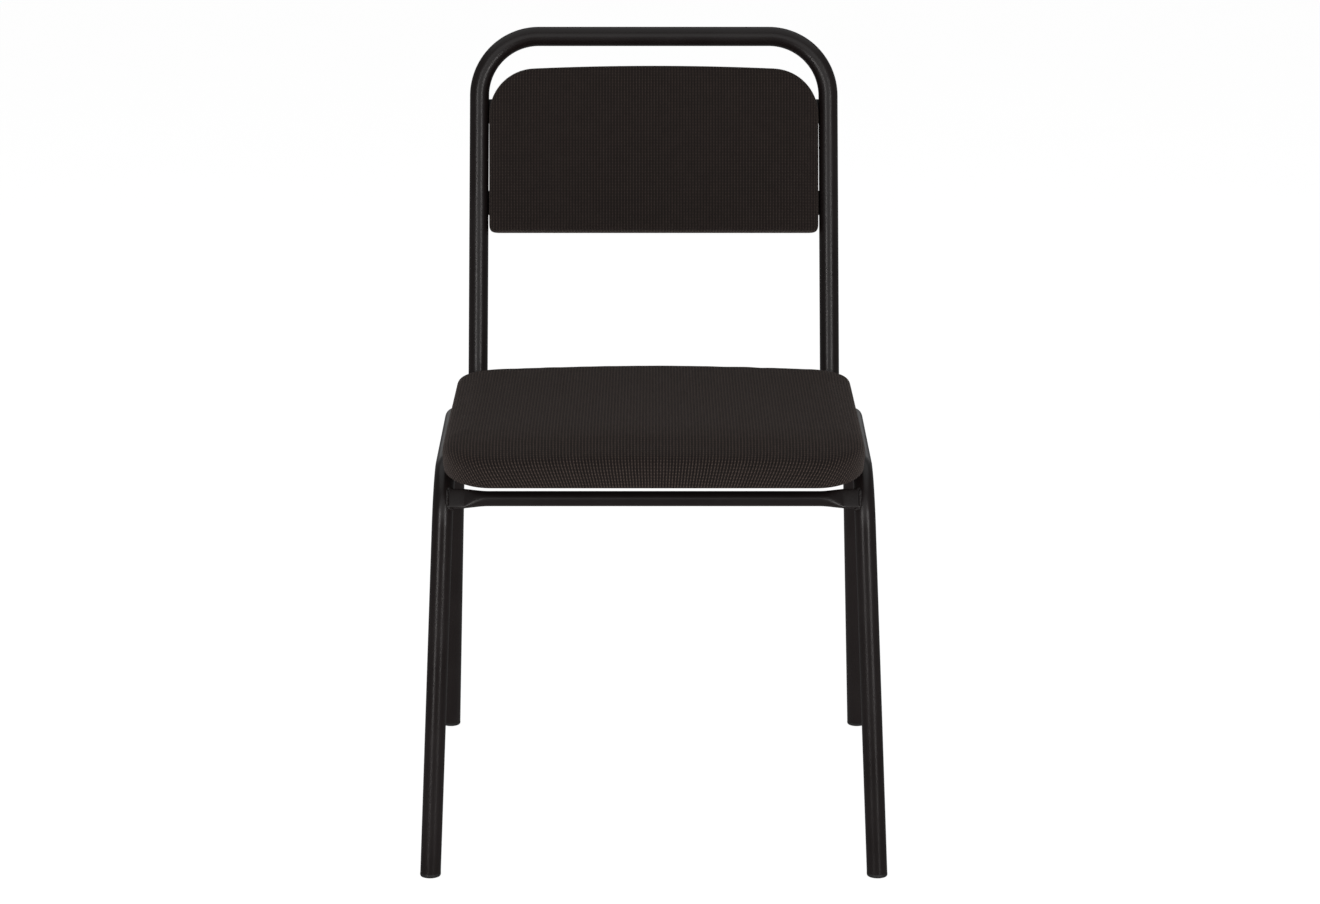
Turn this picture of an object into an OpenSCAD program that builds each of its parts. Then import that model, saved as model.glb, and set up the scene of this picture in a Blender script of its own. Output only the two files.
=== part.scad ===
// Stacking chair: a bent steel tube frame with a hoop back, and woven seat and back pads.
// Millimetres, +Z up, front towards -Y. The origin is on the floor, in the middle of the chair's box.
// Distances along Y are given from the line between the front feet, and place_chair() shifts them.

/* [Tubes] */
// Outer diameter of the frame tubes
tube_d = 22; // [20:0.5:24]
// Wall of every tube
wall = 1.5; // [1:0.1:2]
// Outer diameter of the two crossbars
bar_d = 16; // [14:0.5:18]

/* [Side frames] */
// Half the distance between the front feet, centre to centre
foot_half = 239; // [235:1:250]
// Front foot to rear foot along the floor
foot_span = 516; // [490:1:530]
// Height of the side rail's axis at the front knee
rail_h = 433; // [415:1:445]
// How much lower the rail is at the rear knee
rail_fall = 8; // [4:1:12]
// Front knee behind the front foot
knee_front = 32; // [20:1:40]
// Rear knee behind the front foot
knee_rear = 342; // [330:1:350]
// Bend radius of the front knees, at the tube's axis
knee_bend = 57; // [50:1:65]
// Bend radius of the rear knees, at the tube's axis
rear_knee_bend = 40; // [36:1:60]
// Lean of each side frame towards the middle, in degrees
splay = 2.45; // [1.5:0.05:3]
// Turn of each side frame outwards to the rear, in degrees
toe = 0.4; // [0:0.1:0.8]

/* [Back hoop] */
// Height of the top bar's axis
hoop_h = 826; // [790:1:860]
// Half the distance between the uprights at the top
hoop_half = 199.3; // [197:0.1:201]
// Lean of the uprights to the rear, in degrees
back_lean = 13.9; // [10:0.1:16]
// Where the uprights meet the rail line, behind the front foot
upright_y = 420; // [415:1:430]
// Bend radius of the hoop's top corners, at the tube's axis
hoop_bend = 68; // [60:1:75]
// Bend radius under the seat, at the tube's axis
seat_bend = 45; // [40:1:50]
// Front end of the seat bearers, behind the front foot
bearer_y = 64; // [55:1:75]

/* [Crossbars] */
// Where the front crossbar is welded, round the front knee's bend from the leg, in degrees
front_bar_turn = 28; // [12:1:40]
// How far the front crossbar stands outside the bend's axis
front_bar_lead = 8; // [7:0.5:8]
// Height of the flattened bar ends
flat_h = 21; // [19:0.5:22]
// Thickness of the flattened bar ends
flat_t = 4; // [3:0.5:5]
// Rear crossbar behind the front foot
rear_bar_y = 330; // [320:1:340]

/* [Seat pad] */
// Width of the seat pad
seat_w = 440; // [430:1:444]
// How far the seat pad reaches ahead of the front feet
seat_front = 25; // [15:1:30]
// Depth of the seat pad at its middle
seat_d = 417; // [405:1:419]
// Bow of the seat's rear edge
seat_bow = 8; // [4:1:12]
// Fall of the waterfall front edge
seat_drop = 12; // [8:1:16]
// Length of the waterfall front
waterfall = 80; // [60:1:100]
// Plan radius of the seat's front corners
seat_front_r = 50; // [35:1:55]
// Plan radius of the seat's rear corners
seat_rear_r = 45; // [28:1:50]
// Thickness of the seat board
seat_board_t = 11; // [10:1:12]
// Thickness of the seat foam
seat_foam_t = 18; // [15:1:22]

/* [Back pad] */
// Width of the back pad
pad_w = 377; // [370:0.5:377]
// Top edge of the back pad, below the top bar's axis
pad_top = 34; // [30:1:40]
// Height of the back pad
pad_h = 191; // [180:1:210]
// Rise of the arched top edge
pad_bow = 3; // [2:1:5]
// Radius of the pad's top corners
pad_top_r = 53; // [45:1:62]
// Radius of the pad's bottom corners
pad_low_r = 5; // [4:1:8]
// Thickness of the back board
back_board_t = 9; // [8:1:10]
// Thickness of the back foam
back_foam_t = 12; // [10:1:14]

/* [Fixings] */
// Thickness of the welded tabs
tab_t = 3; // [2.5:0.5:4]
// Screw diameter
screw_d = 6; // [5:1:6]
// Height of the foot caps' rims
cap_h = 4; // [3:0.5:6]

/* [Hidden] */
$fn = 64;
left = -1;
right = 1;
black = [0.09, 0.085, 0.085];
steel = [0.62, 0.63, 0.65];
tube_r = tube_d / 2;
weld_gap = 0.2;
bend_lap = 0.6;
bend_trim = 0.02;
fit_gap = 0.1;
cloth_t = 1;

// The side frame's plane: x of a point at a distance y and a height z
function frame_x(y, z) = foot_half + y * tan(toe) - z * tan(splay);
function frame_point(y, z) = [frame_x(y, z), y, z];
rail_slope = atan(rail_fall / (knee_rear - knee_front));
function rail_z(y) = rail_h - (y - knee_front) * tan(rail_slope);
front_foot = frame_point(0, 0);
front_knee = frame_point(knee_front, rail_h);
rear_knee = frame_point(knee_rear, rail_z(knee_rear));
rear_foot = frame_point(foot_span, 0);
front_lean = (front_knee - front_foot) / rail_h;
rear_lean = (rear_knee - rear_foot) / rear_knee.z;

// The seat bearers run beside the rails, one tube diameter further in
function bearer_point(y) = [frame_x(y, rail_z(y)) - tube_d - weld_gap, y, rail_z(y)];
bearer_end = bearer_point(bearer_y);
upright_low = bearer_point(upright_y);
upright_run = (hoop_h - upright_low.z) * tan(back_lean);
upright_top = [hoop_half, upright_y + upright_run, hoop_h];

box_front = -seat_front;
box_rear = upright_top.y + tube_r;
middle_y = (box_front + box_rear) / 2;

// Seat pad layers, measured up from the plane on top of the bearers
seat_lift = 1;
seat_board_z = seat_lift + cloth_t;
seat_foam_z = seat_board_z + seat_board_t;
seat_top_z = seat_foam_z + seat_foam_t;
seat_half = seat_w / 2;
front_edge = -seat_front - knee_front;
rear_edge = front_edge + seat_d;
seat_fix_x = 174;
seat_fix_y = [70, 252];

// Back pad layers, measured to the rear from the plane of the hoop's axis
back_front_y = -15;
back_foam_y = back_front_y + cloth_t;
back_board_y = back_foam_y + back_foam_t;
back_flange_y = back_board_y + back_board_t;
back_face_y = back_flange_y + cloth_t;
panel_t = 1.2;
panel_room = 0.7;
panel_face_y = back_face_y + panel_room + panel_t;
pad_half = pad_w / 2;
back_fix_x = 172;
back_fix_z = [-85, -190];

// Hardware sizes
washer_d = 12;
washer_t = 1.6;
head_d = 11;
head_h = 3.4;
nut_flange_d = 19;
nut_flange_t = 1.4;
nut_barrel_d = 8;
tab_w = 28;
tab_inner_x = 160;
staple_w = 10;
staple_wire = 1.2;
staple_crown = 0.6;
staple_leg = 6;

// ---- Placing ----

module place_chair() {
    translate([0, -middle_y, 0]) children();
}

// The part of the chair at one side: children are drawn for the right
module at_side(side) {
    mirror([side == left ? 1 : 0, 0, 0]) children();
}

// Axes of the seat pad: Y along the rails, Z square to them, zero at the front knee's top
module seat_place() {
    translate([0, knee_front, rail_h]) rotate([-rail_slope, 0, 0]) translate([0, 0, tube_r]) children();
}

// Axes of the back pad: Z up the uprights, Y square to them, zero at the top bar's axis
module back_place() {
    translate([0, upright_top.y, hoop_h]) rotate([-back_lean, 0, 0]) children();
}

module axes_at(origin, x_axis, z_axis) {
    y_axis = cross(z_axis, x_axis);
    multmatrix([
        [x_axis.x, y_axis.x, z_axis.x, origin.x],
        [x_axis.y, y_axis.y, z_axis.y, origin.y],
        [x_axis.z, y_axis.z, z_axis.z, origin.z]
    ]) children();
}

// ---- Bent tube ----

function unit(v) = v / norm(v);
function way(points, i) = unit(points[i + 1] - points[i]);
function turn_at(points, i) = acos(way(points, i - 1) * way(points, i));
function is_corner(points, i) = i > 0 && i < len(points) - 1;
// From a corner back to where its bend starts
function setback(points, bends, i) =
    is_corner(points, i) ? bends[i - 1] * tan(turn_at(points, i) / 2) : 0;
// The same, less the lap of the straight run over the bend
function run_setback(points, bends, i) =
    is_corner(points, i) ? setback(points, bends, i) - bend_lap : 0;

module tube_ring(d, trim = 0) {
    difference() {
        circle(r = d / 2 - trim);
        circle(r = d / 2 - wall + trim);
    }
}

module straight_run(from, to) {
    along = unit(to - from);
    aside = unit(cross(along, abs(along.x) > 0.9 ? [0, 0, 1] : [1, 0, 0]));
    axes_at(from, aside, along) linear_extrude(norm(to - from)) children();
}

// A bend starts at a tangent point, and turns about a centre on the inside of the corner
module bend_run(points, bends, i) {
    before = way(points, i - 1);
    after = way(points, i);
    inwards = unit(after - (after * before) * before);
    start = points[i] - before * setback(points, bends, i);
    axes_at(start + inwards * bends[i - 1], -inwards, cross(-inwards, before))
        rotate_extrude(angle = turn_at(points, i), $fn = 96)
            translate([bends[i - 1], 0]) children();
}

// A bent tube: the bends' wall is a hair thinner, so the straight runs close round their ends
module bent_tube(points, bends, d) {
    for (i = [0 : len(points) - 2])
        straight_run(
            points[i] + way(points, i) * run_setback(points, bends, i),
            points[i + 1] - way(points, i) * run_setback(points, bends, i + 1)
        ) tube_ring(d);
    for (i = [1 : len(points) - 2])
        bend_run(points, bends, i) tube_ring(d, bend_trim);
}

// ---- Frame ----

below_floor = 30;
frame_line = [
    front_foot - front_lean * below_floor, front_knee, rear_knee, rear_foot - rear_lean * below_floor
];

knee_bends = [knee_bend, rear_knee_bend];

module side_frame(side) {
    color(black) place_chair() at_side(side) difference() {
        bent_tube(frame_line, knee_bends, tube_d);
        translate([foot_half - 50, -50, -2 * below_floor])
            cube([100, foot_span + 100, 2 * below_floor + cap_h]);
    }
}

function flipped(p) = [-p.x, p.y, p.z];
hoop_line = [
    bearer_end, upright_low, upright_top,
    flipped(upright_top), flipped(upright_low), flipped(bearer_end)
];

module back_hoop() {
    color(black) place_chair()
        bent_tube(hoop_line, [seat_bend, hoop_bend, hoop_bend, seat_bend], tube_d);
}

module solid_bearer(d) {
    straight_run(bearer_end, upright_low) circle(d = d);
}

module solid_upright(d) {
    straight_run(upright_low, upright_top) circle(d = d);
}

// The front crossbar lies on the outside of the front knees' bends, square to them
leg_way = way(frame_line, 0);
knee_inwards = unit(way(frame_line, 1) - (way(frame_line, 1) * leg_way) * leg_way);
bend_start = front_knee - leg_way * setback(frame_line, knee_bends, 1);
bar_outwards = leg_way * sin(front_bar_turn) - knee_inwards * cos(front_bar_turn);
knee_at_bar = bend_start + knee_inwards * knee_bend + bar_outwards * knee_bend;
bar_centre = knee_at_bar + bar_outwards * front_bar_lead;
bar_tilt = asin(bar_outwards.z);
flat_start = knee_at_bar.x - tube_d;
flat_blend = 26;
round_end = flat_start - flat_blend;
slice = 0.4;

module bar_end() {
    hull() {
        translate([round_end - slice, 0, 0]) rotate([0, 90, 0]) cylinder(d = bar_d, h = slice, $fn = 32);
        translate([flat_start, -flat_t / 2, -flat_h / 2]) cube([slice, flat_t, flat_h]);
    }
    translate([flat_start + slice, -flat_t / 2, -flat_h / 2])
        cube([knee_at_bar.x - flat_start - slice, flat_t, flat_h]);
}

module front_crossbar() {
    color(black) place_chair() difference() {
        translate([0, bar_centre.y, bar_centre.z]) rotate([-bar_tilt, 0, 0]) {
            rotate([0, 90, 0]) translate([0, 0, slice - round_end])
                linear_extrude(2 * round_end - 2 * slice) tube_ring(bar_d);
            for (side = [left, right]) at_side(side) bar_end();
        }
        for (side = [left, right]) at_side(side)
            bend_run(frame_line, knee_bends, 1) circle(d = tube_d + fit_gap);
    }
}

module rear_crossbar() {
    reach = bearer_point(rear_bar_y).x;
    color(black) place_chair() difference() {
        translate([-reach, rear_bar_y, rail_z(rear_bar_y)]) rotate([0, 90, 0])
            linear_extrude(2 * reach) tube_ring(bar_d);
        for (side = [left, right]) at_side(side) solid_bearer(tube_d + fit_gap);
    }
}

// ---- Plastic caps ----

plug_d = tube_d - 2 * wall - 2 * fit_gap;
plug_h = 26;
rim_foot = 0.8;
bearer_plug = 18;
bearer_rim = 2.5;

// A level slab round a foot, between two heights
module slab(foot, low, high) {
    translate([foot.x - 2 * tube_d, foot.y - 2 * tube_d, low]) cube([4 * tube_d, 4 * tube_d, high - low]);
}

// The rim's underside and the plug's shoulder are level with the floor, whatever the leg's lean
module foot_cap(side, foot, lean) {
    low = foot - lean * below_floor;
    high = foot + lean * 2 * plug_h;
    color(black) place_chair() at_side(side) union() {
        intersection() {
            straight_run(low, high) circle(d = tube_d);
            slab(foot, rim_foot, cap_h);
        }
        intersection() {
            straight_run(low, high) circle(d = tube_d - 2);
            slab(foot, 0, rim_foot);
        }
        intersection() {
            straight_run(low, high) circle(d = plug_d);
            slab(foot, cap_h, cap_h + plug_h);
        }
    }
}

module bearer_cap(side) {
    along = unit(upright_low - bearer_end);
    color(black) place_chair() at_side(side) union() {
        straight_run(bearer_end - along * bearer_rim, bearer_end) circle(d = tube_d);
        straight_run(bearer_end - along, bearer_end + along * bearer_plug) circle(d = plug_d);
    }
}

// ---- Welded tabs ----

module seat_tab(side, y) {
    color(black) place_chair() at_side(side) difference() {
        seat_place() translate([tab_inner_x, y - tab_w / 2, seat_lift - tab_t])
            cube([bearer_end.x - tab_inner_x, tab_w, tab_t]);
        seat_place() translate([seat_fix_x, y, -20]) cylinder(d = screw_d + 0.5, h = 40);
        solid_bearer(tube_d + fit_gap);
    }
}

module back_tab(side, z) {
    color(black) place_chair() at_side(side) difference() {
        back_place() translate([tab_inner_x, panel_face_y, z - tab_w / 2])
            cube([hoop_half - tab_inner_x, tab_t, tab_w]);
        back_place() translate([back_fix_x, 0, z]) rotate([-90, 0, 0])
            cylinder(d = screw_d + 0.5, h = 40);
        solid_upright(tube_d + fit_gap);
    }
}

// ---- Seat pad ----

// Points of a rounded corner, from one angle to another
function corner(x, y, r, from, to) =
    [for (i = [0 : 8]) [x + r * cos(from + (to - from) * i / 8), y + r * sin(from + (to - from) * i / 8)]];

// The seat's outline, drawn in by an inset all round; the rear edge is bowed
module seat_plan(inset) {
    half = seat_half - inset;
    front_r = seat_front_r - inset;
    rear_r = seat_rear_r - inset;
    front_y = front_edge + inset;
    side_rear = rear_edge - seat_bow - inset;
    flat_half = half - rear_r;
    polygon(concat(
        corner(-half + front_r, front_y + front_r, front_r, 180, 270),
        corner(half - front_r, front_y + front_r, front_r, 270, 360),
        corner(half - rear_r, side_rear - rear_r, rear_r, 0, 90),
        [for (i = [-5 : 5]) [-flat_half * i / 6, side_rear + seat_bow * (1 - pow(i / 6, 2))]],
        corner(-half + rear_r, side_rear - rear_r, rear_r, 90, 180)
    ));
}

// Fall of the waterfall front at a distance y along the seat
function seat_fall(y) = -seat_drop * pow(max(0, 1 - (y - front_edge) / waterfall), 2);
seat_steps = [
    for (i = [0 : 10]) front_edge + waterfall * i / 10,
    rear_edge
];

// A layer of the seat, between two heights, that follows the waterfall
module seat_layer(inset, low, high) {
    under = [for (y = seat_steps) [y, seat_fall(y) + low]];
    over = [for (i = [len(seat_steps) - 1 : -1 : 0]) [seat_steps[i], seat_fall(seat_steps[i]) + high]];
    intersection() {
        translate([0, 0, -50]) linear_extrude(150) seat_plan(inset);
        translate([-seat_w, 0, 0]) rotate([90, 0, 90]) linear_extrude(2 * seat_w)
            polygon(concat(under, over));
    }
}

module at_seat_fixings() {
    for (side = [left, right], y = seat_fix_y) translate([side * seat_fix_x, y, 0]) children();
}

module staple() {
    translate([-staple_w / 2, -staple_wire / 2, -staple_crown]) cube([staple_w, staple_wire, staple_crown]);
    for (x = [-staple_w / 2, staple_w / 2 - staple_crown])
        translate([x, -staple_wire / 2, 0]) cube([staple_crown, staple_wire, staple_leg]);
}

staple_inset = 13;
side_staples = [for (i = [0 : 5]) 40 + i * 50];
end_staples = [for (i = [-3 : 3]) i * 48];

module at_seat_staples() {
    for (side = [left, right], y = side_staples)
        translate([side * (seat_half - staple_inset), y, seat_lift]) rotate([0, 0, 90]) children();
    for (x = end_staples)
        translate([x, rear_edge - seat_bow - staple_inset, seat_lift]) children();
}

module seat_board() {
    color([0.78, 0.62, 0.42]) place_chair() seat_place() difference() {
        seat_layer(cloth_t + fit_gap, seat_board_z, seat_foam_z);
        at_seat_fixings() cylinder(d = nut_barrel_d + 2 * fit_gap, h = 3 * seat_board_t, center = true);
        at_seat_staples() staple();
    }
}

module seat_foam() {
    color([0.85, 0.8, 0.6]) place_chair() seat_place() difference() {
        seat_layer(cloth_t + fit_gap, seat_foam_z + fit_gap, seat_top_z);
        at_seat_fixings() translate([0, 0, seat_foam_z])
            cylinder(d = nut_flange_d + 2 * fit_gap, h = nut_flange_t + 2 * fit_gap);
    }
}

wrap = 22;

module seat_cover() {
    color([0.15, 0.13, 0.12]) place_chair() seat_place() difference() {
        seat_layer(0, seat_lift, seat_top_z + fit_gap + cloth_t);
        seat_layer(cloth_t, seat_board_z, seat_top_z + fit_gap);
        seat_layer(wrap, 0, seat_board_z + 1);
        at_seat_staples() staple();
    }
}

module seat_dust_cover() {
    color([0.12, 0.12, 0.12]) place_chair() seat_place() difference() {
        seat_layer(wrap + 0.5, seat_lift, seat_board_z - fit_gap);
        at_seat_fixings() cylinder(d = screw_d + 1, h = 20, center = true);
    }
}

module seat_staples() {
    color(steel) place_chair() seat_place() at_seat_staples() staple();
}

// ---- Hardware, drawn along Z with the clamped faces at zero ----

// Sunk in the board from its padded side: the flange lies on the board, the barrel points down
module tee_nut(board_t) {
    difference() {
        union() {
            cylinder(d = nut_flange_d, h = nut_flange_t);
            translate([0, 0, 1 - board_t]) cylinder(d = nut_barrel_d, h = board_t - 1);
        }
        translate([0, 0, -board_t]) cylinder(d = screw_d + 0.2, h = 2 * board_t);
    }
}

module washer() {
    translate([0, 0, -washer_t]) difference() {
        cylinder(d = washer_d, h = washer_t);
        translate([0, 0, -1]) cylinder(d = screw_d + 0.4, h = washer_t + 2);
    }
}

// A button head with a hex socket, under the washer, and its shank above
module screw(length) {
    translate([0, 0, -washer_t]) {
        cylinder(d = screw_d, h = length);
        difference() {
            translate([0, 0, -head_h]) cylinder(d1 = head_d * 0.55, d2 = head_d, h = head_h);
            translate([0, 0, -head_h - 1]) cylinder(d = 4.6, h = 3, $fn = 6);
        }
    }
}

module seat_tee_nuts() {
    color(steel) place_chair() seat_place() at_seat_fixings()
        translate([0, 0, seat_foam_z]) tee_nut(seat_board_t);
}

module seat_washers() {
    color(steel) place_chair() seat_place() at_seat_fixings()
        translate([0, 0, seat_lift - tab_t]) washer();
}

module seat_screws() {
    color(steel) place_chair() seat_place() at_seat_fixings()
        translate([0, 0, seat_lift - tab_t]) screw(16);
}

// ---- Back pad ----

// The back pad's outline as seen from the front, drawn in by an inset all round
module back_plan(inset) {
    half = pad_half - inset;
    high = -pad_top - pad_bow - inset;
    low = -pad_top - pad_h + inset;
    top_r = pad_top_r - inset;
    low_r = max(pad_low_r - inset, 1);
    flat_half = half - top_r;
    polygon(concat(
        corner(-half + low_r, low + low_r, low_r, 180, 270),
        corner(half - low_r, low + low_r, low_r, 270, 360),
        corner(half - top_r, high - top_r, top_r, 0, 90),
        [for (i = [-5 : 5]) [-flat_half * i / 6, high + pad_bow * (1 - pow(i / 6, 2))]],
        corner(-half + top_r, high - top_r, top_r, 90, 180)
    ));
}

// A layer of the back pad between two distances behind the hoop's plane
module back_layer(inset, from, to) {
    translate([0, to, 0]) rotate([90, 0, 0]) linear_extrude(to - from) back_plan(inset);
}

// Z of the children points to the front
module at_back_fixings() {
    for (side = [left, right], z = back_fix_z)
        translate([side * back_fix_x, 0, z]) rotate([90, 0, 0]) children();
}

back_side_staples = [for (i = [0 : 2]) -115 - i * 40];
back_end_staples = [for (i = [-3 : 3]) i * 42];
back_staple_inset = 15;

module at_back_staples() {
    for (side = [left, right], z = back_side_staples)
        translate([side * (pad_half - back_staple_inset), back_face_y, z])
            rotate([90, 90, 0]) children();
    for (x = back_end_staples)
        translate([x, back_face_y, -pad_top - pad_h + back_staple_inset]) rotate([90, 0, 0]) children();
}

module back_board() {
    color([0.78, 0.62, 0.42]) place_chair() back_place() difference() {
        back_layer(cloth_t + fit_gap, back_board_y, back_flange_y);
        at_back_fixings() cylinder(d = nut_barrel_d + 2 * fit_gap, h = 4 * back_board_t, center = true);
        at_back_staples() staple();
    }
}

module back_foam() {
    color([0.85, 0.8, 0.6]) place_chair() back_place() difference() {
        back_layer(cloth_t + fit_gap, back_foam_y + fit_gap, back_board_y - fit_gap);
        at_back_fixings() translate([0, 0, -back_board_y])
            cylinder(d = nut_flange_d + 2 * fit_gap, h = nut_flange_t + 2 * fit_gap);
    }
}

module back_cover() {
    color([0.15, 0.13, 0.12]) place_chair() back_place() difference() {
        back_layer(0, back_front_y, back_face_y);
        back_layer(cloth_t, back_foam_y, back_flange_y);
        back_layer(wrap, back_flange_y - 1, back_face_y + 1);
        at_back_staples() staple();
    }
}

// A thin tray over the wrapped cover, with a rim that leaves room for the staples
module back_rear_panel() {
    color(black) place_chair() back_place() difference() {
        back_layer(9, back_face_y, panel_face_y);
        back_layer(11, back_face_y - 1, back_face_y + panel_room);
        at_back_fixings() cylinder(d = screw_d + 1, h = 40, center = true);
    }
}

module back_staples() {
    color(steel) place_chair() back_place() at_back_staples() staple();
}

module back_tee_nuts() {
    color(steel) place_chair() back_place() at_back_fixings()
        translate([0, 0, -back_board_y]) tee_nut(back_board_t);
}

module back_washers() {
    color(steel) place_chair() back_place() at_back_fixings()
        translate([0, 0, -panel_face_y - tab_t]) washer();
}

module back_screws() {
    color(steel) place_chair() back_place() at_back_fixings()
        translate([0, 0, -panel_face_y - tab_t]) screw(16);
}

side_frame(left);  // left_side_frame
side_frame(right);  // right_side_frame
back_hoop();
front_crossbar();
rear_crossbar();
foot_cap(left, front_foot, front_lean);  // front_left_foot_cap
foot_cap(right, front_foot, front_lean);  // front_right_foot_cap
foot_cap(left, rear_foot, rear_lean);  // rear_left_foot_cap
foot_cap(right, rear_foot, rear_lean);  // rear_right_foot_cap
bearer_cap(left);  // left_bearer_cap
bearer_cap(right);  // right_bearer_cap
seat_tab(left, seat_fix_y[0]);  // front_left_seat_tab
seat_tab(right, seat_fix_y[0]);  // front_right_seat_tab
seat_tab(left, seat_fix_y[1]);  // rear_left_seat_tab
seat_tab(right, seat_fix_y[1]);  // rear_right_seat_tab
back_tab(left, back_fix_z[0]);  // upper_left_back_tab
back_tab(right, back_fix_z[0]);  // upper_right_back_tab
back_tab(left, back_fix_z[1]);  // lower_left_back_tab
back_tab(right, back_fix_z[1]);  // lower_right_back_tab
seat_board();
seat_foam();
seat_cover();
seat_dust_cover();
seat_staples();
seat_tee_nuts();
seat_screws();
seat_washers();
back_board();
back_foam();
back_cover();
back_rear_panel();
back_staples();
back_tee_nuts();
back_screws();
back_washers();
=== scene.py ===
import math

import bpy
import numpy as np
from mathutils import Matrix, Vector


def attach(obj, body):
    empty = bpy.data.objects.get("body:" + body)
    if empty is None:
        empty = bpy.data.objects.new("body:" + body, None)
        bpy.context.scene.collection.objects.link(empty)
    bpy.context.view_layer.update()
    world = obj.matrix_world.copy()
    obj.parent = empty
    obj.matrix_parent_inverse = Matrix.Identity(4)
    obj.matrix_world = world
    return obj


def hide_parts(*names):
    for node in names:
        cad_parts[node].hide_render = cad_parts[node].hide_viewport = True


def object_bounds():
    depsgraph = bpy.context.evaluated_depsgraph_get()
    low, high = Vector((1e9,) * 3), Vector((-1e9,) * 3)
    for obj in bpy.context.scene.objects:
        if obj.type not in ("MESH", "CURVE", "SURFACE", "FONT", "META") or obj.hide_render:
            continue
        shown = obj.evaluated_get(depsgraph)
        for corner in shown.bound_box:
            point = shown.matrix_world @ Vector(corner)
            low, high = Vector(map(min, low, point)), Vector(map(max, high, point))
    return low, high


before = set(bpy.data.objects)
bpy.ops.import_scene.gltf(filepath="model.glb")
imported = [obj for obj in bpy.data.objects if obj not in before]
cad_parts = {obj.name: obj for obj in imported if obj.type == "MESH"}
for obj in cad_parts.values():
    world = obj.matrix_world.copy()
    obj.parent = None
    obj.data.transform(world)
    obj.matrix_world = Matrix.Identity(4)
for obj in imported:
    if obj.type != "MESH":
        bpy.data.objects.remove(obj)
cadLow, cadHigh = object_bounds()
print("frame loaded:", len(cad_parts), "nodes")

# Shapes are worked out in millimetres, with Y counted from the line between the front feet.
# toFrame() turns them into metres in the frame's own place.
chair = {
    "seatFront": 25,    # the seat's front edge, ahead of the front feet
    "tubeRadius": 11,
    "tubeWall": 1.5,
    "footHalf": 239,
    "footSpan": 516,
    "railHeight": 433,
    "railFall": 8,
    "kneeFront": 32,
    "kneeRear": 342,
    "splay": 2.45,      # degrees
    "toe": 0.4,         # degrees
    "hoopHeight": 826,
    "hoopHalf": 199.3,
    "backLean": 13.9,   # degrees
    "uprightY": 420,
    "bearerY": 64,
    "weldGap": 0.2,
}
millimetre = 0.001
frontLine = cadLow.y / millimetre + chair["seatFront"]
railSlope = math.atan(chair["railFall"] / (chair["kneeRear"] - chair["kneeFront"]))


def toFrame(points):
    # metres = (point + shift of the front line along Y) / 1000
    return (np.asarray(points, float) + [0, frontLine, 0]) * millimetre


def framePoint(y, z):
    # the side frame's plane: x grows with y by the toe and shrinks with z by the splay
    toe, splay = math.radians(chair["toe"]), math.radians(chair["splay"])
    return np.array([chair["footHalf"] + y * math.tan(toe) - z * math.tan(splay), y, z])


def railZ(y):
    return chair["railHeight"] - (y - chair["kneeFront"]) * math.tan(railSlope)


def bearerPoint(y):
    # one tube diameter and the weld's gap further in than the rail
    point = framePoint(y, railZ(y))
    point[0] -= 2 * chair["tubeRadius"] + chair["weldGap"]
    return point


uprightLow = bearerPoint(chair["uprightY"])
uprightRun = (chair["hoopHeight"] - uprightLow[2]) * math.tan(math.radians(chair["backLean"]))
uprightTop = np.array([chair["hoopHalf"], chair["uprightY"] + uprightRun, chair["hoopHeight"]])
mirrorX = np.array([-1, 1, 1])


def seatSpace(points):
    # seat axes: Y along the rails, Z square to them, zero on top of the front knee
    x, y, z = np.moveaxis(np.asarray(points, float), -1, 0)
    lift = z + chair["tubeRadius"]
    worldY = chair["kneeFront"] + y * math.cos(railSlope) + lift * math.sin(railSlope)
    worldZ = chair["railHeight"] - y * math.sin(railSlope) + lift * math.cos(railSlope)
    return np.stack([x, worldY, worldZ], -1)


def backSpace(points):
    # back axes: Z up the uprights, Y square to them to the rear, zero at the top bar's axis
    x, y, z = np.moveaxis(np.asarray(points, float), -1, 0)
    lean = math.radians(chair["backLean"])
    worldY = uprightTop[1] + y * math.cos(lean) + z * math.sin(lean)
    worldZ = uprightTop[2] - y * math.sin(lean) + z * math.cos(lean)
    return np.stack([x, worldY, worldZ], -1)


# meshes from grids

def gridQuads(rows, columns, closedRows=False, closedColumns=False):
    # quads between neighbouring points of a grid numbered row by row
    lastRow = rows if closedRows else rows - 1
    lastColumn = columns if closedColumns else columns - 1
    r, c = np.meshgrid(np.arange(lastRow), np.arange(lastColumn), indexing="ij")
    right, up = (c + 1) % columns, (r + 1) % rows
    corners = [r * columns + c, r * columns + right, up * columns + right, up * columns + c]
    return np.stack(corners, -1).reshape(-1, 4)


def signedVolume(points, faces):
    # six times the volume inside a closed set of faces, below zero when they face inwards
    p = points[faces] - points.mean(0)
    return sum(np.sum(p[:, 0] * np.cross(p[:, k], p[:, k + 1])) for k in range(1, faces.shape[1] - 1))


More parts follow.
